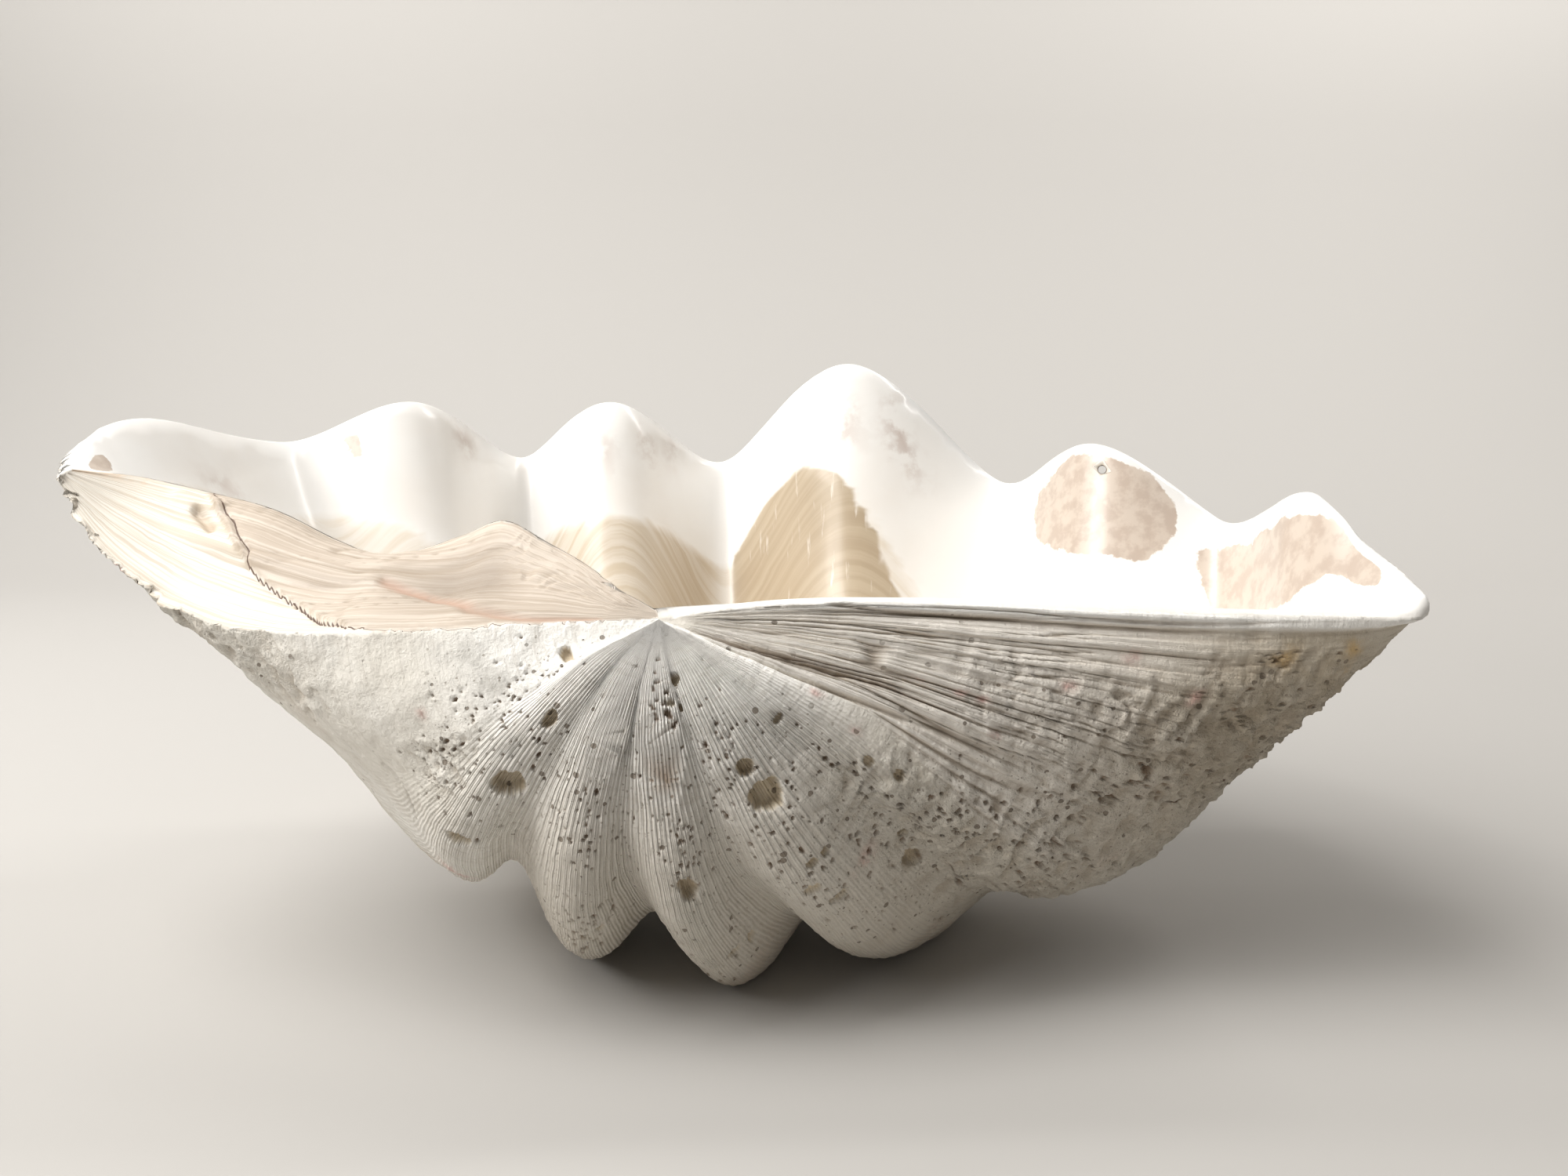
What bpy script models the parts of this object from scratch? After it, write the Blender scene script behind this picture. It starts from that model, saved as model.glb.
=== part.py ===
"""Giant clam shell: one valve lying on its round outer side, hollow up.

Units are metres with +Z up. The beak, where every rib starts, is near the front (-Y);
the wavy rim opens away from it (+Y), and the long hinge edge runs along X.
"""
import math

import bpy
import bmesh
import numpy as np
from mathutils import Matrix, Vector

MM = 0.001

# Wall of the shell, and the level under the beak at which its crests are worn flat
WALL_AT_BELLY = 11 * MM
WALL_AT_RIM = 7.5 * MM

# By the beak the inside is smoother than the outside, with its crests filled up between the
# furrows. From the stage RIBBED_INSIDE to the rim it follows every rib
CREST_FILLING = 0.75
SMOOTH_INSIDE = 0.5
RIBBED_INSIDE = 0.9
REST_LEVEL = -203 * MM

# Growth stages from the beak (0) to the rim (1), at which the rib lines below give their points
STAGES = (0.0, 0.10, 0.24, 0.42, 0.58, 0.72, 0.86, 1.0)

# Rib lines, from the left hinge edge round to the right hinge edge. Each runs from the beak to the
# rim through one point a stage, in millimetres from the beak. Crests end in the low places of the
# rim and furrows end in its peaks, as where two closed valves lock together.
RIB_LINES = (
    ("left hinge edge", (-40, -7, 0), (-95, -14, -2), (-160, -8, -5), (-212, 9, -4),
     (-252, 26, 8), (-288, 44, 30), (-318, 64, 62)),
    ("left flank", (-34, -14, -10), (-80, -24, -25), (-132, -16, -40), (-178, 8, -42),
     (-224, 34, -20), (-280, 62, 24), (-328, 92, 75)),
    ("furrow to peak 0", (-30, -17, -14), (-68, -28, -38), (-110, -18, -66), (-148, 22, -82),
     (-194, 68, -66), (-262, 112, 2), (-318, 146, 91)),
    ("crest 1", (-26, -24, -16), (-60, -33, -50), (-94, -14, -104), (-114, 44, -142),
     (-156, 118, -142), (-230, 206, -62), (-284, 267, 78)),
    ("furrow to peak 1", (-17, -20, -20), (-40, -27, -52), (-66, -8, -98), (-84, 56, -138),
     (-114, 146, -134), (-168, 236, -42), (-204, 287, 106)),
    ("crest 2", (-12, -28, -25), (-28, -38, -70), (-40, -20, -132), (-48, 44, -187),
     (-76, 150, -204), (-123, 286, -116), (-147, 367, 66)),
    ("furrow to peak 2", (-5, -22, -25), (-12, -29, -66), (-14, -10, -120), (-8, 58, -166),
     (-22, 164, -168), (-53, 284, -62), (-73, 348, 108)),
    ("crest 3", (2, -29, -28), (6, -39, -78), (16, -22, -146), (34, 48, -203),
     (32, 160, -211), (18, 322, -126), (9, 405, 62)),
    ("furrow to peak 3", (9, -23, -25), (21, -30, -64), (40, -8, -122), (74, 56, -168),
     (94, 166, -166), (106, 289, -49), (109, 352, 137)),
    ("crest 4", (18, -27, -22), (42, -37, -66), (76, -18, -130), (112, 48, -189),
     (146, 150, -204), (199, 282, -118), (227, 364, 48)),
    ("furrow to peak 4", (25, -20, -15), (58, -27, -42), (106, -8, -92), (158, 46, -152),
     (204, 124, -158), (250, 208, -62), (276, 267, 77)),
    ("crest 5", (33, -19, -14), (82, -26, -43), (144, -8, -98), (210, 38, -146),
     (268, 92, -142), (330, 168, -66), (353, 229, 26)),
    ("furrow to peak 5", (39, -14, -10), (98, -19, -29), (170, -8, -64), (240, 20, -98),
     (300, 52, -88), (338, 90, -34), (358, 118, 51)),
    ("right flank", (43, -9, -6), (108, -13, -19), (185, -8, -42), (256, 2, -62),
     (314, 22, -54), (348, 46, -26), (367, 74, 27)),
    ("ligament field", (47, -4, -1), (114, -6, -7), (196, -5, -19), (268, -4, -28),
     (322, 4, -25), (352, 14, -12), (370, 34, 12)),
    ("right hinge edge", (50, 0, 6), (118, 1, 7), (205, 1, 4), (276, 0, 2),
     (326, 0, 1), (352, 2, 1), (365, 8, 3)),
)
LAST_LINE = len(RIB_LINES) - 1
FURROW_NARROWING = 0.16          # how far the flanks of a furrow swell towards its crests

# Crest of the hinge tooth and of the shelf beside it, from the beak to the left end of the rim
TOOTH_STAGES = (0.0, 0.05, 0.10, 0.16, 0.21, 0.28, 0.35, 0.42, 0.50, 0.60, 0.72, 0.86, 1.0)
TOOTH_CREST = (
    (-3, 7, 4), (-19, 14, 12), (-39, 30, 23), (-62, 46, 33), (-83, 58, 42), (-107, 65, 35),
    (-130, 69, 27), (-153, 71, 23), (-177, 76, 30), (-212, 86, 45), (-250, 96, 54),
    (-288, 94, 63), (-314, 74, 68),
)
# Hollow in the face of the tooth, under its crest. Across the face, 0 is its front and 1 its crest
TOOTH_HOLLOW = 8 * MM
HOLLOW_STAGES = (0.14, 0.22, 0.26, 0.40)
HOLLOW_CENTRE = 0.55
HOLLOW_REACH = 0.4

# Step where the tooth ends against the flat left shelf
SHELF_STEP = 3 * MM
SHELF_STAGES = (0.30, 0.45, 0.62, 0.85)
SHELF_WIDTH = (0, 0.2, 0.8, 1)
TOOTH_JOIN = 1.5                 # rib line at which the tooth's back joins the inside

# Flat lip along the right hinge edge, which narrows and rises towards the tip
LIP = np.array((0, 9, 1)) * MM
LIP_AT_TIP = np.array((0, 5, 7)) * MM
LIP_JOIN = LAST_LINE - 1.5       # rib line at which the lip's back joins the inside
RIM_ROUNDING = 2.5 * MM

# Ligament field: fibrous ridges that run out from the beak below the right hinge edge
LIGAMENT_LINES = (11.6, 12.1, 14.7, 15)
LIGAMENT_STAGES = (0.03, 0.12, 0.6, 0.95)
LIGAMENT_RIDGE = 2.2 * MM
LIGAMENT_PERIOD = 0.5            # rib lines from one ridge to the next
LIGAMENT_SWAY = 0.5              # how far the ridges wave, in ridge widths
GROOVE_LINE = 12.4
GROOVE_REACH = 0.5
GROOVE_STAGES = (0.03, 0.10, 0.16, 0.34)
GROOVE_DEPTH = 6 * MM

# Holes bored and worn into the outer face: rib line, growth stage, radius and depth in millimetres
PITS = (
    (9.2, 0.27, 8, 8), (9.1, 0.22, 4, 5), (3.4, 0.30, 8, 7), (3.0, 0.41, 5.5, 5),
    (1.1, 0.12, 3.5, 3), (3.3, 0.19, 4, 4), (8.2, 0.10, 3, 3), (7.2, 0.35, 6, 6),
    (9.9, 0.48, 5, 6), (9.2, 0.37, 4, 4), (9.2, 0.43, 5, 4), (10.3, 0.52, 4, 4),
)
LOBE_HOLE = (10.05, 0.988, 2.7)  # small hole right through the lobe at peak 4: line, stage, radius
PIT_SIDES = 8
PIT_RINGS = 6

COLUMNS_PER_LINE = 6
ROWS = 23
STRIP_COLUMNS = 5
WELD = 0.00001


def curve(values, knots, at):
    """Smooth curve through values given at knots, read at the places in `at`."""
    values = np.asarray(values, float)
    knots = np.asarray(knots, float)
    slopes = np.gradient(values, knots, axis=0)
    i = np.clip(np.searchsorted(knots, at, side="right") - 1, 0, len(knots) - 2)
    shape = (-1,) + (1,) * (values.ndim - 1)
    width = (knots[i + 1] - knots[i]).reshape(shape)
    t = ((at - knots[i]).reshape(shape)) / width
    return ((2 * t ** 3 - 3 * t ** 2 + 1) * values[i]
            + (t ** 3 - 2 * t ** 2 + t) * width * slopes[i]
            + (3 * t ** 2 - 2 * t ** 3) * values[i + 1]
            + (t ** 3 - t ** 2) * width * slopes[i + 1])


def ease(start, end, value):
    """Smooth step from 0 at start to 1 at end."""
    t = np.clip((value - start) / (end - start), 0, 1)
    return t * t * (3 - 2 * t)


def hump(middle, half_width, value):
    """Smooth hump of height 1 around middle."""
    return ease(half_width, 0, np.abs(value - middle))


def plateau(marks, value):
    """Flat top of height 1 between the middle two of four marks, falling to 0 at the outer two."""
    start, full, falling, end = marks
    return ease(start, full, value) * ease(end, falling, value)


def outward(face):
    """Unit vectors standing out from a fan of points, away from the hollow."""
    across = np.gradient(face, axis=0)
    along = np.gradient(face, axis=1)
    normal = np.cross(along, across)
    normal[:, 0] = normal[:, 1]
    return normal / np.maximum(np.linalg.norm(normal, axis=2, keepdims=True), 1e-9)


def rib_curves(stages):
    """Every rib line from the beak to the rim, at the asked stages."""
    table = np.array([((0, 0, 0),) + line[1:] for line in RIB_LINES], float) * MM
    return curve(table.transpose(1, 0, 2), STAGES, stages).transpose(1, 0, 2)


def ribbed_face(lines, stages):
    """The plain outer face: broad ribs and narrow furrows, fanning out from the beak."""
    ribs = rib_curves(stages)
    face = curve(ribs, np.arange(LAST_LINE + 1), lines)
    for furrow in range(2, LAST_LINE - 1, 2):
        lift = (ribs[furrow - 1] + ribs[furrow + 1]) / 2 - ribs[furrow]
        flank = np.sin(math.pi * np.clip(np.abs(lines - furrow), 0, 1)) ** 2
        face += FURROW_NARROWING * flank[:, None, None] * lift[None]
    return face


def smooth_face(lines, stages):
    """The face the inside follows: filled up between the furrows by the beak, ribbed at the rim."""
    ribs = rib_curves(stages)
    filled = CREST_FILLING * ease(RIBBED_INSIDE, SMOOTH_INSIDE, stages)[:, None]
    for crest in range(1, LAST_LINE, 2):
        level = (ribs[crest - 1] + ribs[crest + 1]) / 2
        ribs[crest] += filled * (level - ribs[crest])
    return curve(ribs, np.arange(LAST_LINE + 1), lines)


def ligament(lines, stages):
    """Height of the fibrous ridges and of the deep groove in the ligament field."""
    line, stage = np.meshgrid(lines, stages, indexing="ij")
    phase = line / LIGAMENT_PERIOD + LIGAMENT_SWAY * np.sin(7 * stage)
    ridges = LIGAMENT_RIDGE * (2 * np.abs(phase % 1 - 0.5) - 0.5)
    ridges *= plateau(LIGAMENT_LINES, line) * plateau(LIGAMENT_STAGES, stage)
    groove = GROOVE_DEPTH * hump(GROOVE_LINE, GROOVE_REACH, line) * plateau(GROOVE_STAGES, stage)
    return ridges - groove


def strip(front, back, sag):
    """Points between two edges of equal length, with a sag of (v, row) along their own normal."""
    v = np.linspace(0, 1, STRIP_COLUMNS + 1)
    points = front[None] * (1 - v)[:, None, None] + back[None] * v[:, None, None]
    normal = np.cross(np.gradient(points, axis=1), np.gradient(points, axis=0))
    normal /= np.maximum(np.linalg.norm(normal, axis=2, keepdims=True), 1e-9)
    normal *= np.sign(normal[:, :, 2:3] + 1e-9)
    return points + normal * sag(v[:, None])[:, :, None]


def tooth_profile(stages):
    """Hollow face of the tooth near the beak, and the step down to the shelf at the left."""
    hollow = TOOTH_HOLLOW * plateau(HOLLOW_STAGES, stages)
    step = SHELF_STEP * plateau(SHELF_STAGES, stages)

    def sag(v):
        upper = 2 * (v > 0.5) - 1
        return step * plateau(SHELF_WIDTH, v) * upper - hollow * hump(HOLLOW_CENTRE, HOLLOW_REACH, v)
    return sag


def joined_to_edge(inner, edge, edge_line, join_line, lines):
    """The inside, with a straight back from an edge to the rib line where it joins."""
    join = inner[int(np.argmin(np.abs(lines - join_line)))]
    t = ease(edge_line, join_line, lines)[:, None, None]
    return np.where(t < 1, edge[None] * (1 - t) + join[None] * t, inner)


def shell_faces(lines, stages):
    """The grids of points that close the shell: outer face, inside, rim, tooth and lip."""
    plain = ribbed_face(lines, stages)
    outer = plain + outward(plain) * ligament(lines, stages)[:, :, None]
    outer[:, :, 2] = np.maximum(outer[:, :, 2], REST_LEVEL)

    tooth = curve(np.array(TOOTH_CREST, float) * MM, TOOTH_STAGES, stages)
    beak_inside = tooth[0]
    grown = ease(0, 0.24, stages)
    wall = (WALL_AT_BELLY + (WALL_AT_RIM - WALL_AT_BELLY) * ease(0.6, 1, stages)) * grown
    smooth = smooth_face(lines, stages)
    inner = smooth - outward(smooth) * wall[None, :, None] + beak_inside * (1 - grown)[None, :, None]
    inner = joined_to_edge(inner, tooth, 0, TOOTH_JOIN, lines)
    at_tip = ease(0.75, 1, stages)[:, None]
    lip = plain[-1] + (LIP * (1 - at_tip) + LIP_AT_TIP * at_tip) * ease(0, 0.1, stages)[:, None]
    lip += beak_inside * ease(0.1, 0, stages)[:, None]
    inner = joined_to_edge(inner, lip, LAST_LINE, LIP_JOIN, lines)

    growing = plain[:, -1] - plain[:, -2]
    growing /= np.linalg.norm(growing, axis=1, keepdims=True)
    crown = (outer[:, -1] + inner[:, -1]) / 2 + RIM_ROUNDING * growing
    rim = np.stack((outer[:, -1], crown, inner[:, -1]))
    shelf = strip(outer[0], inner[0], tooth_profile(stages))
    lip_top = strip(outer[-1], inner[-1], lambda v: 0 * v * stages)
    return outer, inner, rim, shelf, lip_top


def end_caps(rim, shelf, lip_top):
    """Outlines of the two small faces where the rim meets the shelf and the lip."""
    return [np.concatenate((band[:, -1], rim[1:2, end])) for band, end in ((shelf, 0), (lip_top, -1))]


def solid_mesh(name, grids, caps):
    """One closed mesh from grids of points that share their edges, and the caps between them."""
    mesh = bpy.data.meshes.new(name)
    shell = bmesh.new()
    for grid in grids:
        rows = [[shell.verts.new(point) for point in row] for row in grid]
        for row, following in zip(rows, rows[1:]):
            for a, b, c, d in zip(row, row[1:], following[1:], following):
                shell.faces.new((a, b, c, d))
    for cap in caps:
        shell.faces.new([shell.verts.new(point) for point in cap])
    bmesh.ops.remove_doubles(shell, verts=shell.verts[:], dist=WELD)
    bmesh.ops.dissolve_degenerate(shell, dist=WELD, edges=shell.edges[:])
    bmesh.ops.recalc_face_normals(shell, faces=shell.faces[:])
    shell.to_mesh(mesh)
    shell.free()
    return mesh


def add_ball(cutter, place, normal, radius, depth):
    """A flattened ball, sunk half into the surface at a place, to cut one pit."""
    turn = Vector((0, 0, 1)).rotation_difference(Vector(normal)).to_matrix().to_4x4()
    size = Matrix.Diagonal((radius, radius, depth, 1))
    bmesh.ops.create_uvsphere(cutter, u_segments=PIT_SIDES, v_segments=PIT_RINGS, radius=1,
                              matrix=Matrix.Translation(place) @ turn @ size)


def add_borer(cutter, place, normal, radius):
    """A thin rod through the wall, to cut the hole in the lobe."""
    turn = Vector((0, 0, 1)).rotation_difference(Vector(normal)).to_matrix().to_4x4()
    bmesh.ops.create_cone(cutter, cap_ends=True, segments=PIT_SIDES, radius1=radius, radius2=radius,
                          depth=4 * WALL_AT_RIM, matrix=Matrix.Translation(place) @ turn)


def worn_holes(shift):
    """The object that cuts the pits and the lobe's hole out of the shell."""
    cutter = bmesh.new()
    lines = np.linspace(0, LAST_LINE, LAST_LINE * 20 + 1)
    stages = np.linspace(0, 1, 251)
    face = ribbed_face(lines, stages)
    out = outward(face)
    for line, stage, *size in PITS + (LOBE_HOLE,):
        i = int(round(line * 20))
        j = int(round(stage * 250))
        place = face[i, j] + shift
        if len(size) == 2:
            add_ball(cutter, place, out[i, j], size[0] * MM, size[1] * MM)
        else:
            add_borer(cutter, place, out[i, j], size[0] * MM)
    mesh = bpy.data.meshes.new("worn_holes")
    cutter.to_mesh(mesh)
    cutter.free()
    holes = bpy.data.objects.new("worn_holes", mesh)
    holes.hide_render = True
    holes.display_type = "WIRE"
    bpy.context.collection.objects.link(holes)
    return holes


def shell_material():
    """Chalky off-white shell."""
    material = bpy.data.materials.new("shell")
    material.use_nodes = True
    surface = material.node_tree.nodes["Principled BSDF"]
    surface.inputs["Base Color"].default_value = (0.76, 0.72, 0.65, 1)
    surface.inputs["Roughness"].default_value = 0.6
    surface.inputs["Metallic"].default_value = 0
    return material


def build():
    for old in list(bpy.data.objects):
        bpy.data.objects.remove(old, do_unlink=True)

    lines = np.linspace(0, LAST_LINE, LAST_LINE * COLUMNS_PER_LINE + 1)
    stages = np.linspace(0, 1, ROWS + 1)
    grids = shell_faces(lines, stages)
    points = np.concatenate([grid.reshape(-1, 3) for grid in grids])
    low, high = points.min(0), points.max(0)
    shift = -np.array(((low[0] + high[0]) / 2, (low[1] + high[1]) / 2, low[2]))
    grids = [grid + shift for grid in grids]
    mesh = solid_mesh("clam_shell", grids, end_caps(*grids[2:]))
    mesh.materials.append(shell_material())
    mesh.shade_smooth()
    shell = bpy.data.objects.new("clam_shell", mesh)
    bpy.context.collection.objects.link(shell)

    cut = shell.modifiers.new("worn holes", "BOOLEAN")
    cut.operation = "DIFFERENCE"
    cut.solver = "EXACT"
    cut.object = worn_holes(shift)


build()
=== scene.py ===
import math

import bpy
import numpy as np
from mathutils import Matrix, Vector


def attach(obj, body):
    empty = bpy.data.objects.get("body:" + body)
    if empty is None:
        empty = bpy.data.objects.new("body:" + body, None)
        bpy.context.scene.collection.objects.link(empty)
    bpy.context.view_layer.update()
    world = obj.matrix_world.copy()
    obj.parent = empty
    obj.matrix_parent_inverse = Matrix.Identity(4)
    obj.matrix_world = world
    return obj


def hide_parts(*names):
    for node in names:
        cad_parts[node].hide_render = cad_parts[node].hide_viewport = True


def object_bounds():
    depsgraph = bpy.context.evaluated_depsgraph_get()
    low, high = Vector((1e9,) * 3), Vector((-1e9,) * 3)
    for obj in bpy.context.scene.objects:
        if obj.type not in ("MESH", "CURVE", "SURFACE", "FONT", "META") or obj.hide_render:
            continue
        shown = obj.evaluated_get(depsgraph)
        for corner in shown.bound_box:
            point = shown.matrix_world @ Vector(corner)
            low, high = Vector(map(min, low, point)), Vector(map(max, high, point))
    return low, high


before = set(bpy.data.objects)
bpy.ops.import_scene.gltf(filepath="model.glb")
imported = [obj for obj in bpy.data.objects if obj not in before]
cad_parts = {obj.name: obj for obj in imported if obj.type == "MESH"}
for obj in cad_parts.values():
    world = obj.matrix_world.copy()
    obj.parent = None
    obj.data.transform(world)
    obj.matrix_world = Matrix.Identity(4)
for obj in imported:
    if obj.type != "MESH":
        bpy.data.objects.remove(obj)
cad_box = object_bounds()


# The valve's rib lines. The shell grew from its beak in a fan of broad ribs with narrow furrows
# between them; each line below gives where one crest or furrow lay at seven stages of growth, in
# millimetres from the beak. Crests end in the low places of the rim and furrows in its peaks.
MM = 0.001
STAGES = (0.0, 0.10, 0.24, 0.42, 0.58, 0.72, 0.86, 1.0)
RIB_LINES = (
    ("left hinge edge", (-40, -7, 0), (-95, -14, -2), (-160, -8, -5), (-212, 9, -4),
     (-252, 26, 8), (-288, 44, 30), (-318, 64, 62)),
    ("left flank", (-34, -14, -10), (-80, -24, -25), (-132, -16, -40), (-178, 8, -42),
     (-224, 34, -20), (-280, 62, 24), (-328, 92, 75)),
    ("furrow to peak 0", (-30, -17, -14), (-68, -28, -38), (-110, -18, -66), (-148, 22, -82),
     (-194, 68, -66), (-262, 112, 2), (-318, 146, 91)),
    ("crest 1", (-26, -24, -16), (-60, -33, -50), (-94, -14, -104), (-114, 44, -142),
     (-156, 118, -142), (-230, 206, -62), (-284, 267, 78)),
    ("furrow to peak 1", (-17, -20, -20), (-40, -27, -52), (-66, -8, -98), (-84, 56, -138),
     (-114, 146, -134), (-168, 236, -42), (-204, 287, 106)),
    ("crest 2", (-12, -28, -25), (-28, -38, -70), (-40, -20, -132), (-48, 44, -187),
     (-76, 150, -204), (-123, 286, -116), (-147, 367, 66)),
    ("furrow to peak 2", (-5, -22, -25), (-12, -29, -66), (-14, -10, -120), (-8, 58, -166),
     (-22, 164, -168), (-53, 284, -62), (-73, 348, 108)),
    ("crest 3", (2, -29, -28), (6, -39, -78), (16, -22, -146), (34, 48, -203),
     (32, 160, -211), (18, 322, -126), (9, 405, 62)),
    ("furrow to peak 3", (9, -23, -25), (21, -30, -64), (40, -8, -122), (74, 56, -168),
     (94, 166, -166), (106, 289, -49), (109, 352, 137)),
    ("crest 4", (18, -27, -22), (42, -37, -66), (76, -18, -130), (112, 48, -189),
     (146, 150, -204), (199, 282, -118), (227, 364, 48)),
    ("furrow to peak 4", (25, -20, -15), (58, -27, -42), (106, -8, -92), (158, 46, -152),
     (204, 124, -158), (250, 208, -62), (276, 267, 77)),
    ("crest 5", (33, -19, -14), (82, -26, -43), (144, -8, -98), (210, 38, -146),
     (268, 92, -142), (330, 168, -66), (353, 229, 26)),
    ("furrow to peak 5", (39, -14, -10), (98, -19, -29), (170, -8, -64), (240, 20, -98),
     (300, 52, -88), (338, 90, -34), (358, 118, 51)),
    ("right flank", (43, -9, -6), (108, -13, -19), (185, -8, -42), (256, 2, -62),
     (314, 22, -54), (348, 46, -26), (367, 74, 27)),
    ("ligament field", (47, -4, -1), (114, -6, -7), (196, -5, -19), (268, -4, -28),
     (322, 4, -25), (352, 14, -12), (370, 34, 12)),
    ("right hinge edge", (50, 0, 6), (118, 1, 7), (205, 1, 4), (276, 0, 2),
     (326, 0, 1), (352, 2, 1), (365, 8, 3)),
)
LAST_LINE = len(RIB_LINES) - 1
BEAK = np.array((-0.0210, -0.1832, 0.2030))      # the beak's place in the frame
FURROW_NARROWING = 0.16
BEAK_WEAR = 0.7


def curve(values, knots, at):
    """Smooth curve through values given at knots, read at the places in `at`."""
    values = np.asarray(values, float)
    knots = np.asarray(knots, float)
    slopes = np.gradient(values, knots, axis=0)
    i = np.clip(np.searchsorted(knots, at, side="right") - 1, 0, len(knots) - 2)
    shape = (-1,) + (1,) * (values.ndim - 1)
    width = (knots[i + 1] - knots[i]).reshape(shape)
    t = ((at - knots[i]).reshape(shape)) / width
    return ((2 * t ** 3 - 3 * t ** 2 + 1) * values[i]
            + (t ** 3 - 2 * t ** 2 + t) * width * slopes[i]
            + (3 * t ** 2 - 2 * t ** 3) * values[i + 1]
            + (t ** 3 - t ** 2) * width * slopes[i + 1])


def ease(start, end, value):
    t = np.clip((value - start) / (end - start), 0, 1)
    return t * t * (3 - 2 * t)


def hump(middle, half_width, value):
    return ease(half_width, 0, np.abs(value - middle))


def outward(face):
    across = np.gradient(face, axis=0)
    along = np.gradient(face, axis=1)
    normal = np.cross(along, across)
    normal[:, 0] = normal[:, 1]
    return normal / np.maximum(np.linalg.norm(normal, axis=2, keepdims=True), 1e-9)


def rib_curves(stages):
    table = np.array([((0, 0, 0),) + line[1:] for line in RIB_LINES], float) * MM
    return curve(table.transpose(1, 0, 2), STAGES, stages).transpose(1, 0, 2)


def ribbed_face(lines, stages):
    """The plain outer face. Its furrows are worn shallow close to the beak."""
    ribs = rib_curves(stages)
    worn = BEAK_WEAR * ease(0.48, 0.12, stages)[:, None]
    for furrow in range(2, LAST_LINE - 1, 2):
        ribs[furrow] += worn * ((ribs[furrow - 1] + ribs[furrow + 1]) / 2 - ribs[furrow])
    face = curve(ribs, np.arange(LAST_LINE + 1), lines)
    for furrow in range(2, LAST_LINE - 1, 2):
        lift = (ribs[furrow - 1] + ribs[furrow + 1]) / 2 - ribs[furrow]
        flank = np.sin(math.pi * np.clip(np.abs(lines - furrow), 0, 1)) ** 2
        face += FURROW_NARROWING * flank[:, None, None] * lift[None]
    return face


# Rows of points along the growth: close together near the beak and near the rim
ROW_ZONES = ((0, 0.5, 170), (0.5, 0.86, 60), (0.86, 1, 44))
COLUMNS = 840
lines = np.linspace(0, LAST_LINE, COLUMNS + 1)
stages = np.concatenate([np.linspace(start, end, rows + 1)[1:] for start, end, rows in ROW_ZONES])
stages = np.concatenate(((0,), stages))
plain = ribbed_face(lines, stages)
out = outward(plain)
line, stage = np.meshgrid(lines, stages, indexing="ij")


# The outer face: chalky lime, laid down in bands as the rim grew, then bored by sponges, worms
# and date mussels and worn by the sea. Bands, crust, fibrous ligament ridges and holes are all
# raised or sunk in the surface itself.
def noise(points, size, seed=0):
    """Smooth noise from -1 to 1 over points, with features of the given size in metres."""
    q = points / size
    cell = np.floor(q).astype(np.int64)
    f = q - cell
    f = f * f * f * (f * (f * 6 - 15) + 10)
    total = np.zeros(points.shape[:-1])
    for corner in np.ndindex(2, 2, 2):
        c = cell + np.array(corner)
        mixed = (c[..., 0] * 374761393 + c[..., 1] * 668265263 + c[..., 2] * 2147483647 + seed * 974711)
        mixed = (mixed ^ (mixed >> 13)) * 1274126177
        mixed = (mixed ^ (mixed >> 16)) & 0xFFFF
        weight = np.prod(np.where(np.array(corner), f, 1 - f), axis=-1)
        total += weight * (mixed / 32767.5 - 1)
    return total


def rough(points, size, octaves, seed=0):
    return sum(noise(points, size / 2 ** k, seed + k) / 2 ** k for k in range(octaves))


span = np.linalg.norm(np.diff(plain, axis=1), axis=2)
grown = np.concatenate((np.zeros((len(lines), 1)), np.cumsum(span, axis=1)), axis=1)


def unrolled(per_line, per_metre):
    """The face laid flat, for patterns that follow the growth: features a line and a metre."""
    return np.stack((line * per_line, grown * per_metre, 0 * line), axis=2)


height = 0.0006 * noise(plain, 0.024, 1) + 0.0004 * rough(plain, 0.009, 3, 2)
height *= ease(0, 0.04, stage)
BEAK_FULLNESS = 5 * MM           # how much fuller the middle ribs are close to the beak
height += (BEAK_FULLNESS * ease(0.0, 0.10, stage) * ease(0.27, 0.12, stage)
           * ease(2.0, 3.5, line) * ease(11.0, 9.5, line))
bands = noise(unrolled(1.2, 75), 1, 5)
left_flank = ease(3.2, 1.4, line) * ease(0.05, 0.15, stage)
height += (0.0003 + 0.0008 * left_flank) * bands * ease(0.02, 0.1, stage)
FLUTES_PER_LINE = 9
flutes = np.sin(line * 2 * math.pi * FLUTES_PER_LINE + 2.5 * noise(unrolled(1, 10), 1, 7))
height += (0.0002 * flutes * ease(10.5, 9.0, line) * ease(1.8, 3.0, line)
           * ease(0.04, 0.14, stage) * ease(0.8, 0.5, stage))

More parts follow.
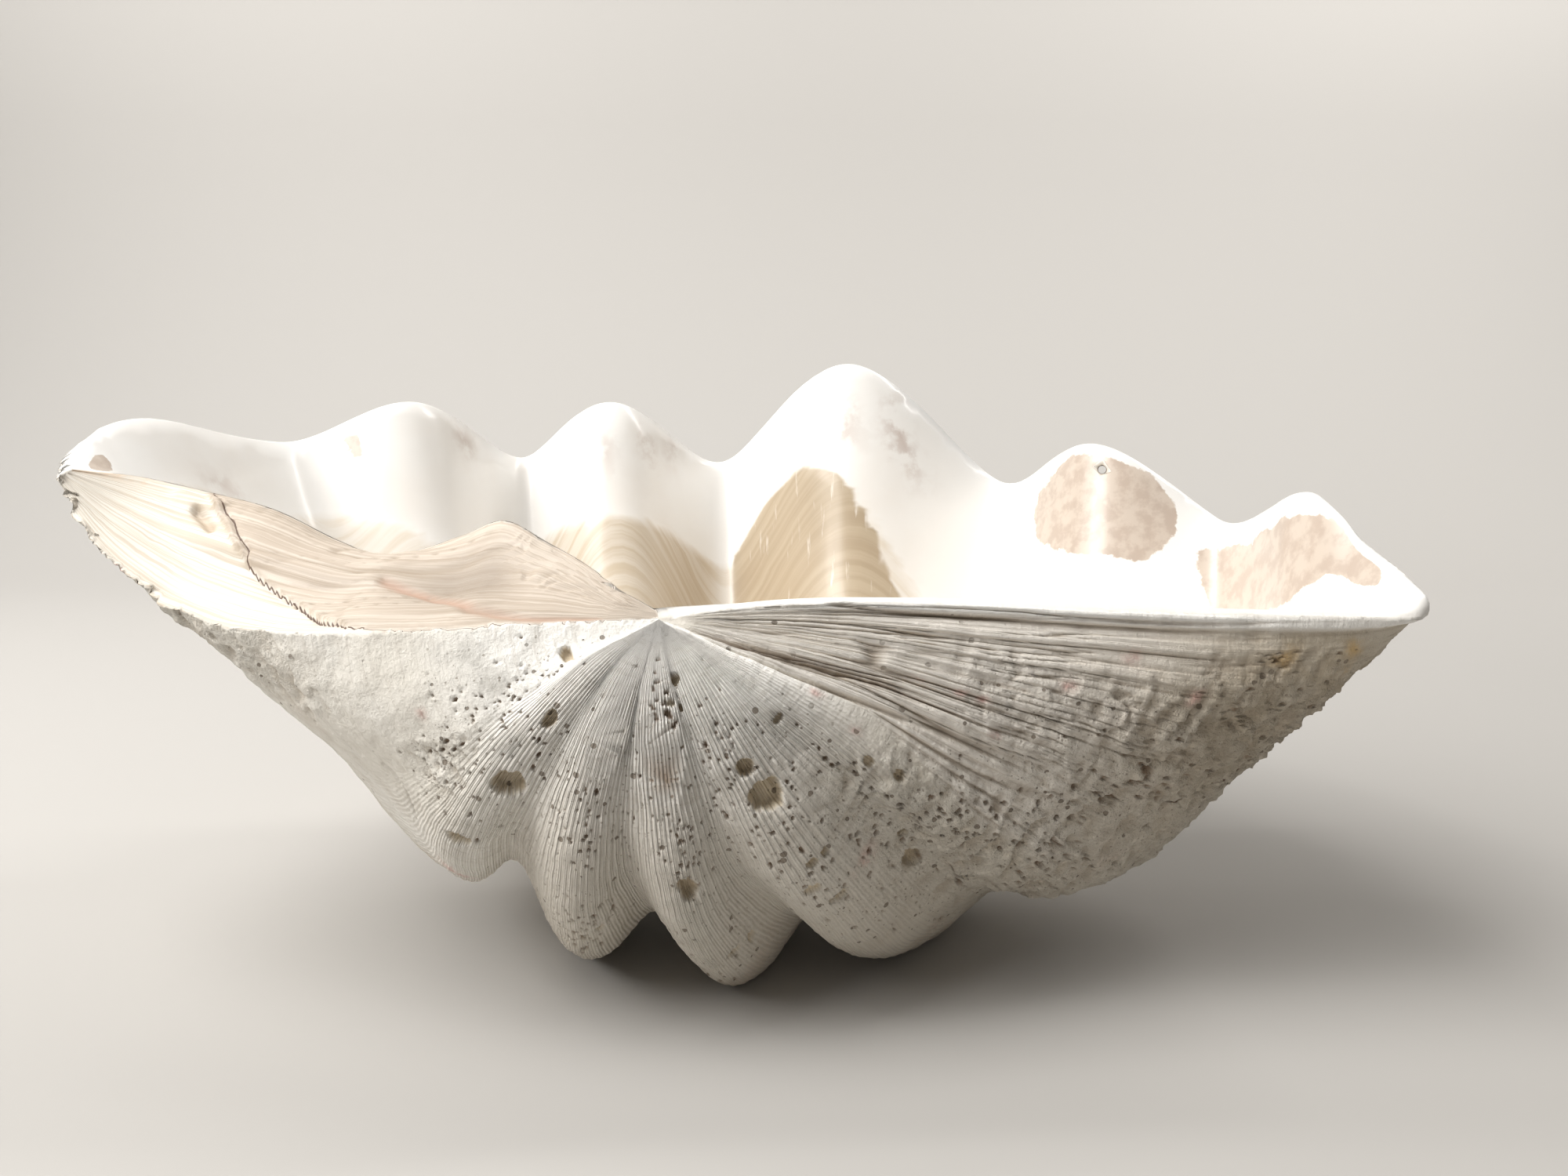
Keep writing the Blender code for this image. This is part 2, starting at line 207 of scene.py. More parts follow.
# crust and broken ledges below the ligament field, and along both ragged edges
crust = ease(9.2, 10.4, line) * ease(14.4, 13.2, line) * ease(0.26, 0.36, stage) * ease(0.99, 0.9, stage)
crust *= ease(-0.6, 0.3, noise(plain, 0.05, 9) + 0.9 * ease(11.8, 10.8, line) + 0.5 * ease(0.5, 0.6, stage))
crust = np.maximum(crust, 0.9 * ease(1.5, 0.5, line) * ease(0.4, 0.6, stage))
crust = np.maximum(crust, 0.8 * hump(2.1, 0.8, line) * hump(0.36, 0.12, stage))
ledge = grown / 0.015 + 1.3 * noise(plain, 0.035, 11) + 0.5 * noise(plain, 0.011, 10) + 0.25 * line
step = ledge % 1
ledge_size = 0.45 + 0.55 * noise(plain, 0.04, 15)
height += crust * (0.0042 * np.clip(ledge_size, 0, 1) * (step - 0.6) * ease(1, 0.88, step)
                   + 0.0017 * rough(plain, 0.010, 4, 12)
                   - 0.0018 * ease(0.25, 0.6, noise(plain, 0.005, 14))
                   * ease(-0.2, 0.4, noise(plain, 0.03, 16)))

# the small bead along the right hinge edge, and the scaly lime at both ends of the valve
bead = ease(14.70, 14.84, line) * ease(0.06, 0.2, stage)
height += 0.0022 * bead
scaly = ease(10.6, 11.6, line) * ease(14.6, 14.3, line) * ease(0.5, 0.6, stage)
scaly = np.maximum(scaly, 0.8 * ease(0.9, 0.2, line) * ease(0.62, 0.75, stage))
scale_step = (grown / 0.0070 + 0.9 * noise(plain, 0.012, 17)) % 1
height += (scaly * 0.0026 * (scale_step - 0.7) * ease(1, 0.86, scale_step)
           * ease(-0.7, 0.2, noise(plain, 0.018, 18)))

# fibrous ligament ridges: strands drawn out along the growth, parted by thin sharp grooves
LIGAMENT_START = 11.55
wander = 0.25 * np.sin(5 * stage) + 0.35 * noise(unrolled(0.8, 14), 1, 20)
field = ease(LIGAMENT_START, LIGAMENT_START + 0.3, line + 0.5 * ease(0.2, 0.45, stage))
field *= ease(LAST_LINE, LAST_LINE - 0.05, line)
swirl = ease(0.30, 0.62, stage + 0.05 * noise(plain, 0.06, 19) - 0.10 * ease(13.4, 14.6, line))
reach = ease(0.02, 0.07, stage) * (1 - 0.85 * swirl)
# strands: how many in a rib line and in a metre, their grooves' width and depth, and a seed
STRANDS = ((3.6, 5.0, 0.11, 2.6 * MM, 22), (8.0, 8.0, 0.16, 1.8 * MM, 23), (15.0, 13.0, 0.22, 1.0 * MM, 24))
strands = np.zeros_like(line)
for per_line, per_metre, width, depth, seed in STRANDS:
    n = noise(unrolled(per_line, per_metre) + (wander * 0.6 * per_line / 4)[..., None] * (1, 0, 0), 1, seed)
    cut = ease(width, 0, np.abs(n)) * ease(-0.9, 0.0, noise(unrolled(per_line / 2, per_metre), 1, seed + 5))
    strands += depth * cut
    height += field * reach * depth * (0.45 * n - 0.9 * cut)
strands = np.clip(strands / 0.0028, 0, 1)
# the deep groove at the field's near end, with thin wavy crevices in it, and the field's lower edge
groove_line = 12.05 + 0.5 * np.clip(stage / 0.2, 0, 1.4) * 0.45
groove = hump(0, 0.30, line - groove_line) * ease(0.03, 0.08, stage) * ease(0.33, 0.2, stage)
height -= 0.0040 * groove
crevices = np.zeros_like(line)
for offset, seed in ((-0.22, 25), (-0.05, 26), (0.10, 27), (0.28, 28)):
    off = line - groove_line - offset - 0.07 * noise(unrolled(2, 30), 1, seed)
    broken = ease(-0.5, 0.1, noise(unrolled(1, 22), 1, seed + 4))
    crevices = np.maximum(crevices, hump(0, 0.035, off) * broken)
crevices *= ease(0.02, 0.06, stage) * ease(0.42, 0.25, stage)
height -= 0.0026 * crevices
field_edge = hump(0, 0.10, line - LIGAMENT_START - 0.35 * ease(0.1, 0.4, stage))
height -= 0.0035 * field_edge * ease(0.05, 0.1, stage) * ease(0.45, 0.3, stage)

# the larger holes: rib line, growth stage, size across, size along and depth in millimetres
PITS = (
    (9.2, 0.27, 8.5, 8, 9), (9.1, 0.225, 4.2, 3.8, 7), (3.4, 0.30, 8.5, 6.4, 8), (3.0, 0.41, 6, 4.6, 5),
    (1.1, 0.12, 4.4, 2.6, 4), (3.3, 0.19, 2.8, 4.7, 5), (8.2, 0.10, 3, 2.6, 4), (7.2, 0.35, 4.6, 6.5, 7),
    (9.9, 0.48, 4.6, 5.6, 6), (10.0, 0.45, 2.6, 2.6, 4), (11.0, 0.33, 3.0, 3.0, 4), (10.8, 0.30, 2.4, 2.6, 3),
    (10.3, 0.52, 4.4, 2.0, 4), (9.2, 0.37, 3.2, 2.0, 4), (9.4, 0.375, 2.2, 2.2, 4), (9.0, 0.40, 4.5, 2.4, 3),
    (9.2, 0.43, 5, 2.2, 4), (7.4, 0.48, 5, 1.8, 3), (7.6, 0.49, 3.0, 3.0, 4), (4.8, 0.51, 2.6, 2.6, 3),
    (10.2, 0.21, 3.2, 1.6, 3), (5.4, 0.47, 2.6, 1.8, 2.5), (7.6, 0.125, 2.2, 1.6, 2.5),
    (8.05, 0.135, 2.0, 2.0, 4),
)
hole = np.zeros_like(line)
borer = np.zeros_like(line)
LINE_WINDOW = 60                 # columns searched on each side of a hole
GROWTH_WINDOW = 18               # and rows


def sink(depths, at_line, at_stage, across, along, depth, ragged, seed):
    """Deepens a hole in `depths`: a steep ragged wall and a flat floor."""
    i = int(np.argmin(np.abs(lines - at_line)))
    j = int(np.argmin(np.abs(stages - at_stage)))
    rows = slice(max(j - GROWTH_WINDOW, 0), j + GROWTH_WINDOW + 1)
    columns = slice(max(i - LINE_WINDOW, 0), i + LINE_WINDOW + 1)
    offset = plain[columns, rows] - plain[i, j]
    grow = plain[i, j + 1] - plain[i, j - 1]
    grow /= np.linalg.norm(grow)
    side = np.cross(out[i, j], grow)
    away = np.sqrt((offset @ side / across) ** 2 + (offset @ grow / along) ** 2
                   + (offset @ out[i, j] / (across + along)) ** 2)
    away += ragged * (noise(plain[columns, rows], 0.005, seed)
                      + 0.5 * noise(plain[columns, rows], 0.002, seed))
    depths[columns, rows] = np.maximum(depths[columns, rows], depth * ease(1.06, 0.86, away))


for number, (at_line, at_stage, across, along, depth) in enumerate(PITS):
    sink(hole, at_line, at_stage, across * MM, along * MM, depth * MM, 0.20, 40 + number)

# borer holes: rib line, stage, spread of both, how many, and the largest radius in millimetres
BORED = (
    (7.25, 0.20, 0.42, 0.10, 34, 1.35), (7.3, 0.31, 0.22, 0.06, 40, 1.0), (7.2, 0.12, 0.4, 0.06, 12, 1.3),
    (8.9, 0.19, 0.6, 0.06, 22, 1.2), (9.6, 0.30, 0.8, 0.05, 16, 1.3), (10.6, 0.42, 0.7, 0.06, 60, 1.6),
    (11.3, 0.50, 0.7, 0.08, 50, 1.5), (9.6, 0.45, 0.7, 0.06, 30, 1.5), (10.4, 0.55, 0.7, 0.05, 30, 1.5),
    (5.1, 0.47, 0.45, 0.04, 46, 1.5), (5.2, 0.30, 0.20, 0.05, 20, 1.2), (3.3, 0.23, 0.5, 0.05, 16, 1.1),
    (3.3, 0.34, 0.6, 0.07, 16, 1.3), (1.2, 0.22, 0.9, 0.10, 22, 1.1), (2.1, 0.37, 0.35, 0.05, 40, 1.1),
    (12.3, 0.55, 0.8, 0.08, 40, 1.6), (6.9, 0.50, 0.6, 0.04, 20, 1.5), (8.8, 0.36, 0.8, 0.08, 18, 1.5),
    (7.5, 0.25, 1.6, 0.12, 70, 1.0), (9.5, 0.32, 1.3, 0.12, 60, 1.0), (5.0, 0.30, 1.2, 0.12, 50, 0.9),
    (2.2, 0.22, 1.2, 0.10, 40, 0.9), (6.3, 0.24, 0.3, 0.05, 5, 1.1), (13.6, 0.66, 0.7, 0.08, 14, 1.2),
    (4.2, 0.40, 0.5, 0.06, 8, 1.2),
)
chance = np.random.default_rng(8)
for at_line, at_stage, wide, long, count, largest in BORED:
    for number in range(count):
        place = chance.normal(0, 0.6, 2)
        radius = (0.45 + 0.55 * chance.random() ** 2) * largest * MM
        hole_line = np.clip(at_line + wide * place[0], 0.2, 14.5)
        hole_stage = np.clip(at_stage + long * place[1], 0.05, 0.9)
        along = radius * (0.75 + 0.5 * chance.random())
        sink(borer, hole_line, hole_stage, radius, along, radius * 1.9, 0.12, number)

# cracks through the outer crust: (rib line, stage) along each
CRACK_DEPTH = 2 * MM
CRACKS = (((12.0, 0.60), (12.1, 0.63), (12.2, 0.655), (12.6, 0.70)),
          ((1.8, 0.49), (2.15, 0.485), (2.4, 0.50)), ((13.55, 0.785), (13.85, 0.80)))


def trail(route, a, b, a_scale, b_scale, width):
    """How near each point (a, b) lies to a route through such points: 1 on it and 0 a width away."""
    nearest = np.full(np.broadcast(a, b).shape, 1e9)
    place = np.stack(np.broadcast_arrays(a * a_scale, b * b_scale), axis=-1)
    ends = [np.array((x * a_scale, y * b_scale)) for x, y in route]
    for start, end in zip(ends, ends[1:]):
        way = end - start
        t = np.clip(((place - start) @ way) / (way @ way), 0, 1)
        nearest = np.minimum(nearest, np.linalg.norm(place - start - t[..., None] * way, axis=-1))
    return ease(width, 0, nearest)


jitter = 0.03 * noise(plain, 0.008, 31)
cracks = sum(trail(route, line + jitter, stage + 0.1 * jitter, 0.045, 0.55, 0.0016) for route in CRACKS)
cracks = np.clip(cracks, 0, 1)
begun_outside = ease(0.015, 0.05, stage)
hole *= begun_outside
borer = np.minimum(borer, np.where(hole > 0.001, 0, borer)) * begun_outside
relief = height - hole - borer - CRACK_DEPTH * cracks
outer = plain + out * relief[:, :, None]
outer[:, :, 2] = np.maximum(outer[:, :, 2], -BEAK[2])


# The inside, the rounded rim, the hinge tooth with its shelf, and the flat lip at the right. They
# are smooth porcelain-like lime that the mantle laid down, and share their edges with the outer face.
TOOTH_STAGES = (0.0, 0.05, 0.10, 0.16, 0.21, 0.28, 0.35, 0.42, 0.50, 0.60, 0.72, 0.86, 1.0)
TOOTH_CREST = (
    (-3, 7, 4), (-19, 14, 12), (-39, 30, 23), (-62, 46, 33), (-83, 58, 42), (-107, 65, 35),
    (-130, 69, 27), (-153, 71, 23), (-177, 76, 30), (-212, 86, 45), (-250, 96, 54),
    (-288, 94, 63), (-314, 74, 68),
)
WALL_AT_BELLY = 11 * MM
WALL_AT_RIM = 7.5 * MM
CREST_FILLING = 0.75             # how far the crests are filled up inside, by the beak
SMOOTH_INSIDE, RIBBED_INSIDE = 0.5, 0.9      # stages between which the inside takes up its ribs
TOOTH_HOLLOW = 8 * MM
TOOTH_JOIN = 1.5                 # rib line at which the tooth's back joins the inside
LIP = np.array((0, 9, 1)) * MM
LIP_AT_TIP = np.array((0, 5, 7)) * MM
LIP_JOIN = LAST_LINE - 1.5
RIM_ROUNDING = 2.5 * MM
INSIDE_STEP = 4                  # one column of the inside for this many of the outer face
SHELF_COLUMNS = 56
LIP_COLUMNS = 6

tooth = curve(np.array(TOOTH_CREST, float) * MM, TOOTH_STAGES, stages)
beak_inside = tooth[0]
begun = ease(0, 0.24, stages)
wall = (WALL_AT_BELLY + (WALL_AT_RIM - WALL_AT_BELLY) * ease(0.6, 1, stages)) * begun
ribs = rib_curves(stages)
filled = CREST_FILLING * ease(RIBBED_INSIDE, SMOOTH_INSIDE, stages)[:, None]
for crest in range(1, LAST_LINE, 2):
    ribs[crest] += filled * ((ribs[crest - 1] + ribs[crest + 1]) / 2 - ribs[crest])
smooth = curve(ribs, np.arange(LAST_LINE + 1), lines)
inner = smooth - outward(smooth) * wall[None, :, None] + beak_inside * (1 - begun)[None, :, None]


def joined_to_edge(inner, edge, edge_line, join_line):
    """The inside, with a straight back from an edge to the rib line where it joins."""
    join = inner[int(np.argmin(np.abs(lines - join_line)))]
    t = ease(edge_line, join_line, lines)[:, None, None]
    return np.where(t < 1, edge[None] * (1 - t) + join[None] * t, inner)


inner = joined_to_edge(inner, tooth, 0, TOOTH_JOIN)
at_tip = ease(0.75, 1, stages)[:, None]
lip = plain[-1] + (LIP * (1 - at_tip) + LIP_AT_TIP * at_tip) * ease(0, 0.1, stages)[:, None]
lip += beak_inside * ease(0.1, 0, stages)[:, None]
inner = joined_to_edge(inner, lip, LAST_LINE, LIP_JOIN)
inner_line = line[::INSIDE_STEP]
inner_stage = stage[::INSIDE_STEP]

# the mantle's edge line: inside it the lime is a little thicker and creamier
MANTLE_THICKNESS = 1.1 * MM
MANTLE_LINES = (0, 2.6, 3.25, 3.7, 4.0, 4.6, 5.2, 6.0, 6.65, 7.1, 7.7, 8.15, 8.4, 9.2, 10, 11, 12.5, 15)
MANTLE_STAGES = (0.90, 0.950, 0.950, 0.930, 0.910, 0.935, 0.950, 0.935, 0.945, 0.945, 0.957, 0.920,
                 0.900, 0.925, 0.90, 0.87, 0.86, 0.84)
mantle = curve(MANTLE_STAGES, MANTLE_LINES, lines)[:, None] - stage
thicker = MANTLE_THICKNESS * ease(-0.004, 0.006, mantle) * begun
inner -= out * (thicker * ease(0.5, 0.3, np.abs(lines - 7.5) / LAST_LINE)[:, None])[:, :, None]
inner = inner + out * (0.0004 * noise(inner, 0.03, 61) * begun)[:, :, None]

growing = plain[:, -1] - plain[:, -2]
growing /= np.linalg.norm(growing, axis=1, keepdims=True)
edge_out, edge_in = outer[:, -1], inner[:, -1]
rim = [edge_out * (1 - t) + edge_in * t + RIM_ROUNDING * math.sin(math.pi * t) ** 0.7 * growing
       for t in (0.18, 0.5, 0.82)]


def strip(front, back, columns):
    """A straight strip between two edges: its points, its upward directions and the way across."""
    v = np.linspace(0, 1, columns + 1)
    points = front[None] * (1 - v)[:, None, None] + back[None] * v[:, None, None]
    normal = np.cross(np.gradient(points, axis=1), np.gradient(points, axis=0))
    normal /= np.maximum(np.linalg.norm(normal, axis=2, keepdims=True), 1e-9)
    normal *= np.sign(normal[:, :, 2:3] + 1e-9)
    return points, normal, v[:, None]


shelf, shelf_up, v = strip(plain[0], inner[0], SHELF_COLUMNS)
shelf += (outer[0] - plain[0])[None] * ease(0.10, 0, v)[:, :, None]
at = (0 * v + 1) * stages
V_SCALE, STAGE_SCALE = 0.09, 0.36            # the strip's rough width and length in metres
is_tooth = ease(0.14, 0.22, at) * ease(0.40, 0.26, at)
is_shelf = ease(0.30, 0.45, at) * ease(0.85, 0.62, at)
edges = ease(0, 0.12, v) * ease(1, 0.88, v)
rise = -TOOTH_HOLLOW * is_tooth * hump(0.55, 0.4, v)
rise = rise + 0.003 * is_shelf * ease(0, 0.2, v) * ease(1, 0.8, v) * (2 * ease(0.44, 0.56, v) - 1)

# the tooth's left end stands a few millimetres over the shelf, with a crack under it
FAR_OFF = 9                      # a value well away from the crack, in its own widths
TOOTH_END_V = (0, 0.05, 0.30, 0.50, 0.60, 0.70, 0.85, 1)
TOOTH_END_STAGE = (0.33, 0.365, 0.47, 0.60, 0.635, 0.66, 0.70, 0.75)
wobble = 0.006 * noise(shelf, 0.02, 70) + 0.003 * noise(shelf, 0.006, 69)
tooth_end = np.interp(v[:, 0], TOOTH_END_V, TOOTH_END_STAGE)[:, None] + wobble
on_tooth = ease(0.010, -0.002, at - tooth_end)
split_off = (at - tooth_end - 0.007) * STAGE_SCALE / MM
split_off = split_off + FAR_OFF * ease(0.04, 0.0, v) + FAR_OFF * ease(0.46, 0.56, v)
crack = ease(1.6, 0.4, np.abs(split_off))
crease = trail(((0.53, 0.36), (0.30, 0.26), (0.17, 0.22), (0.05, 0.145), (0.03, 0.07)), v, at + wobble,
               V_SCALE, STAGE_SCALE, 0.006)
# a hollow under a small ledge on the shelf, which the tint below darkens as a painted shadow
ledge_hollow_and_shadow = trail(((0.66, 0.69), (0.78, 0.735)), v, at, V_SCALE, STAGE_SCALE, 0.006)
ledge_lip = trail(((0.84, 0.69), (0.90, 0.78)), v, at, V_SCALE, STAGE_SCALE, 0.008)
scales = ease(0.35, 0.6, v) * ease(0.02, 0.05, at) * ease(0.26, 0.14, at)
tooth_step = (v * 8 + 30 * at + 1.6 * noise(shelf, 0.016, 71)) % 1
along_shelf = np.stack((v * 9 + 6 * at, at * 3.2, 0 * at), axis=2)
fibres = noise(along_shelf, 1, 74)
fine_fibres = noise(along_shelf * (2.3, 2, 1), 1, 75)
fibre_cut = ease(0.16, 0, np.abs(fibres)) + 0.5 * ease(0.2, 0, np.abs(fine_fibres))
shelf_ribs = noise(np.stack((v * 16 - 1.5 * at, at * 2.0, 0 * at), axis=2), 1, 76)
rise += edges * (0.0042 * on_tooth * ease(0.25, 0.40, at)
                 + 0.0022 * scales * (tooth_step - 0.5) * ease(1, 0.88, tooth_step)
                 - 0.0020 * crease - 0.0030 * crack - 0.004 * ledge_hollow_and_shadow + 0.003 * ledge_lip)
rise += ease(0, 0.03, v) * ease(1, 0.94, v) * ease(0.02, 0.06, at) * (
    0.0006 * noise(shelf, 0.020, 72) - 0.0008 * on_tooth * fibre_cut * ease(0.12, 0.3, at)
    + 0.00045 * (1 - on_tooth) * shelf_ribs)
shelf = shelf + shelf_up * rise[:, :, None]
lip_top, lip_up, lip_v = strip(outer[-1], inner[-1], LIP_COLUMNS)
lip_top = lip_top + lip_up * (0.0016 * np.sin(math.pi * lip_v) * ease(0.02, 0.1, stages))[:, :, None]
# at the beak the shelf's points meet those of the lip
shelf[:, 0] = lip_top[np.round(v[:, 0] * LIP_COLUMNS).astype(int), 0]


# All the grids become one closed mesh. Each point also carries how much of each tint and kind of
# surface it has, as the material below reads them. A stain is its rib line, stage and two widths.
def near(at_line, at_stage, wide, long, here_line, here_stage):
    return np.exp(-((here_line - at_line) / wide) ** 2 - ((here_stage - at_stage) / long) ** 2)


def spots(places, here_line, here_stage):
    return np.clip(sum(near(*place, here_line, here_stage) for place in places), 0, 1)


TAN_LINES = (6.9, 7.08, 7.4, 7.7, 7.95, 8.15, 8.34, 8.5)
TAN_TOPS = (0.90, 0.945, 0.958, 0.956, 0.942, 0.915, 0.88, 0.84)
scar_top = np.interp(inner_line, TAN_LINES, TAN_TOPS, left=0.7, right=0.7)
tan_scar = ease(7.04, 7.12, inner_line) * ease(8.42, 8.28, inner_line)
tan_scar *= ease(0.004, -0.004, inner_stage - scar_top)
tan_scar *= ease(0.76, 0.80, inner_stage)
MAUVE = ((7.90, 0.98, 0.10, 0.010), (7.95, 0.965, 0.12, 0.007), (8.27, 0.98, 0.07, 0.014),
         (5.95, 0.975, 0.05, 0.007), (6.25, 0.98, 0.07, 0.008), (6.50, 0.99, 0.05, 0.006),
         (4.35, 0.99, 0.08, 0.008), (7.7, 0.972, 0.08, 0.008), (8.35, 0.965, 0.10, 0.008),
         (2.35, 0.955, 0.1, 0.01))
# peach stains inside; the last two, at the left tip behind the shelf's back edge, are painted shade
PEACH_AND_SHADE = ((9.70, 0.97, 0.22, 0.02), (10.0, 0.955, 0.25, 0.02), (10.05, 0.975, 0.3, 0.02),
         (10.40, 0.975, 0.2, 0.02), (10.15, 0.945, 0.3, 0.015), (11.05, 0.945, 0.30, 0.025),
         (11.5, 0.96, 0.5, 0.02), (11.6, 0.93, 0.45, 0.03), (12.1, 0.95, 0.4, 0.03),
         (12.6, 0.97, 0.3, 0.02), (13.2, 0.97, 0.6, 0.02), (3.50, 0.985, 0.12, 0.008),
         (0.6, 0.97, 0.4, 0.02), (0.7, 0.90, 0.4, 0.03))
PINK = ((11.4, 0.20, 0.10, 0.006), (12.8, 0.27, 0.08, 0.005), (12.8, 0.32, 0.10, 0.006),
        (12.8, 0.345, 0.08, 0.005), (11.1, 0.26, 0.08, 0.005), (12.2, 0.38, 0.10, 0.006),
        (9.6, 0.43, 0.12, 0.007), (1.2, 0.34, 0.10, 0.006), (13.5, 0.42, 0.10, 0.007),
        (14.2, 0.47, 0.12, 0.007), (13.7, 0.55, 0.12, 0.006), (3.0, 0.52, 0.2, 0.008),
        (0.15, 0.80, 0.20, 0.010), (0.05, 0.80, 0.10, 0.008))
AMBER = ((14.3, 0.635, 0.2, 0.014), (14.4, 0.735, 0.2, 0.016), (14.7, 0.93, 0.15, 0.02),
         (13.9, 0.74, 0.15, 0.01))
GREY = ((1.0, 0.22, 0.5, 0.03), (0.4, 0.25, 0.3, 0.03), (0.3, 0.16, 0.3, 0.02), (5.0, 0.20, 0.25, 0.05),
        (6.0, 0.16, 0.25, 0.05), (3.0, 0.24, 0.3, 0.05), (9.9, 0.24, 0.25, 0.03))

# dirt and painted shade lie where the surface is lower than the softened surface round it
DIRT_AND_SHADE_DEPTH = 1.1 * MM
MANY_HOLES = 55                  # a group of this many holes is fully bored
soft = height.copy()
for _ in range(10):
    soft[1:-1] = (soft[:-2] + 2 * soft[1:-1] + soft[2:]) / 4
    soft[:, 1:-1] = (soft[:, :-2] + 2 * soft[:, 1:-1] + soft[:, 2:]) / 4
dirt_and_shade = np.clip((soft - height) / DIRT_AND_SHADE_DEPTH, 0, 1)
bored = sum(near(*group[:4], line, stage) * min(1, group[4] / MANY_HOLES) for group in BORED)
# the lower right end is darker and browner: weathered stain, and painted shade on that side
weathering_and_shade = (ease(11.0, 13.0, line) * ease(0.30, 0.55, stage) * (0.75 + 0.25 * noise(plain, 0.03, 33))
             * ease(1.02, 0.9, line / LAST_LINE * ease(0.5, 0.8, stage)))

outer_zones = dict(
    bead=bead, dirt_and_shade=dirt_and_shade, hole=ease(0.001, 0.003, hole), borer=ease(0.0005, 0.0015, borer),
    bored=np.clip(bored, 0, 1), crust=crust, ligament=field * reach, strands=strands * field * reach,
    groove=groove, crevices=crevices, cracks=cracks, weathering_and_shade=weathering_and_shade,
    pink=spots(PINK, line, stage), amber=spots(AMBER, line, stage), grey=spots(GREY, line, stage),
)
inner_zones = dict(
    inside=np.ones_like(inner_line), mantle=ease(-0.002, 0.003, mantle[::INSIDE_STEP]),
    arch=ease(5.1, 5.5, inner_line) * ease(7.0, 6.7, inner_line) * ease(-0.001, 0.003, mantle[::INSIDE_STEP]),
    tan=tan_scar, mauve=spots(MAUVE, inner_line, inner_stage), peach_and_shade=spots(PEACH_AND_SHADE, inner_line, inner_stage),
)
shelf_zones = dict(
    inside=0 * at, shelf=0 * at + 1, shade=is_tooth * hump(0.5, 0.45, v), crease=crease,
    split=np.clip(split_off, -FAR_OFF, FAR_OFF), painted_ledge_shadow=ledge_hollow_and_shadow, tooth=on_tooth,
    painted_shade_band=ease(0.82, 0.95, v) * ease(0.78, 0.86, at),
    strands=on_tooth * np.clip(fibre_cut, 0, 1) * ease(0.1, 0.3, at),
)
lip_zones = dict(
    inside=0.6 + 0.4 * lip_v * np.ones_like(stages), ligament=0.3 * (1 - lip_v) * ease(0.8, 0.3, stages),
)

ZONES = (
    "inside", "shelf", "bead", "dirt_and_shade", "hole", "borer", "bored", "crust", "ligament", "strands", "groove",
    "crevices", "cracks", "split", "weathering_and_shade", "pink", "amber", "grey", "mantle", "arch", "tan", "mauve",
    "peach_and_shade", "crease", "painted_ledge_shadow", "painted_shade_band", "shade", "tooth",
)
ELSEWHERE = {"split": FAR_OFF}   # what a zone is on a grid that doesn't give it, where not 0
points, flat_line, flat_grown, faces = [], [], [], []
flat_zones = {name: [] for name in ZONES}


def add_grid(grid, here_line, here_grown, zones):
    """Adds a grid of points and returns their numbers."""
    shape = grid.shape[:2]
    first = sum(len(rows) for rows in points)
    points.append(grid.reshape(-1, 3))
    flat_line.append(np.broadcast_to(here_line, shape).reshape(-1))
    flat_grown.append(np.broadcast_to(here_grown, shape).reshape(-1))
    for name in ZONES:
        zone_values = zones.get(name, ELSEWHERE.get(name, 0.0))
        flat_zones[name].append(np.broadcast_to(zone_values, shape).reshape(-1))
    return np.arange(first, first + shape[0] * shape[1]).reshape(shape)


def fill(numbers):
    """One square between each four neighbours of a grid."""
    corners = (numbers[:-1, :-1], numbers[1:, :-1], numbers[1:, 1:], numbers[:-1, 1:])
    faces.extend(np.stack([c.reshape(-1) for c in corners], axis=1).tolist())


outer_numbers = add_grid(outer, line, grown, outer_zones)
fill(outer_numbers)
inner_numbers = add_grid(inner[::INSIDE_STEP], inner_line, grown[::INSIDE_STEP], inner_zones)
fill(inner_numbers)
shelf_numbers = add_grid(shelf, -v, grown[0], shelf_zones)
fill(shelf_numbers)
lip_numbers = add_grid(lip_top, LAST_LINE + lip_v, grown[-1], lip_zones)
fill(lip_numbers)

# the rounded rim, sewn to the coarser columns of the inside and to the ends of shelf and lip
rim_grid = np.stack([edge_out] + rim, axis=1)
rim_inside = np.array((0.0, 0.5, 0.9, 1.0))
rim_zones = dict(inside=rim_inside, crust=crust[:, -1:] * (1 - rim_inside))
rim_numbers = add_grid(rim_grid, line[:, -1:], grown[:, -1:] + RIM_ROUNDING, rim_zones)
fill(rim_numbers)
for k, (a, b) in enumerate(zip(inner_numbers[:, -1], inner_numbers[1:, -1])):
    crown = rim_numbers[k * INSIDE_STEP:(k + 1) * INSIDE_STEP + 1, -1]
    half = INSIDE_STEP // 2
    for n, (c, d) in enumerate(zip(crown, crown[1:])):
        faces.append([c, d, a if n < half else b])
    faces.append([crown[half], b, a])
faces.append([*shelf_numbers[:, -1].tolist(), *rim_numbers[0, 1:][::-1].tolist()])
faces.append([*lip_numbers[:, -1].tolist(), *rim_numbers[-1, 1:][::-1].tolist()])

points = np.concatenate(points) + BEAK
points = np.clip(points, np.array(cad_box[0]), np.array(cad_box[1]))
mesh = bpy.data.meshes.new("valve")
mesh.from_pydata(points.tolist(), [], faces)
for name in ZONES:
    values = np.concatenate(flat_zones[name]).astype(np.float32)
    mesh.attributes.new(name, "FLOAT", "POINT").data.foreach_set("value", values)
corner = np.empty(len(mesh.loops), np.int32)
mesh.loops.foreach_get("vertex_index", corner)
laid_flat = np.stack((np.concatenate(flat_line) / LAST_LINE, np.concatenate(flat_grown)), axis=1)
mesh.uv_layers.new(name="growth").data.foreach_set("uv", laid_flat[corner].astype(np.float32).reshape(-1))

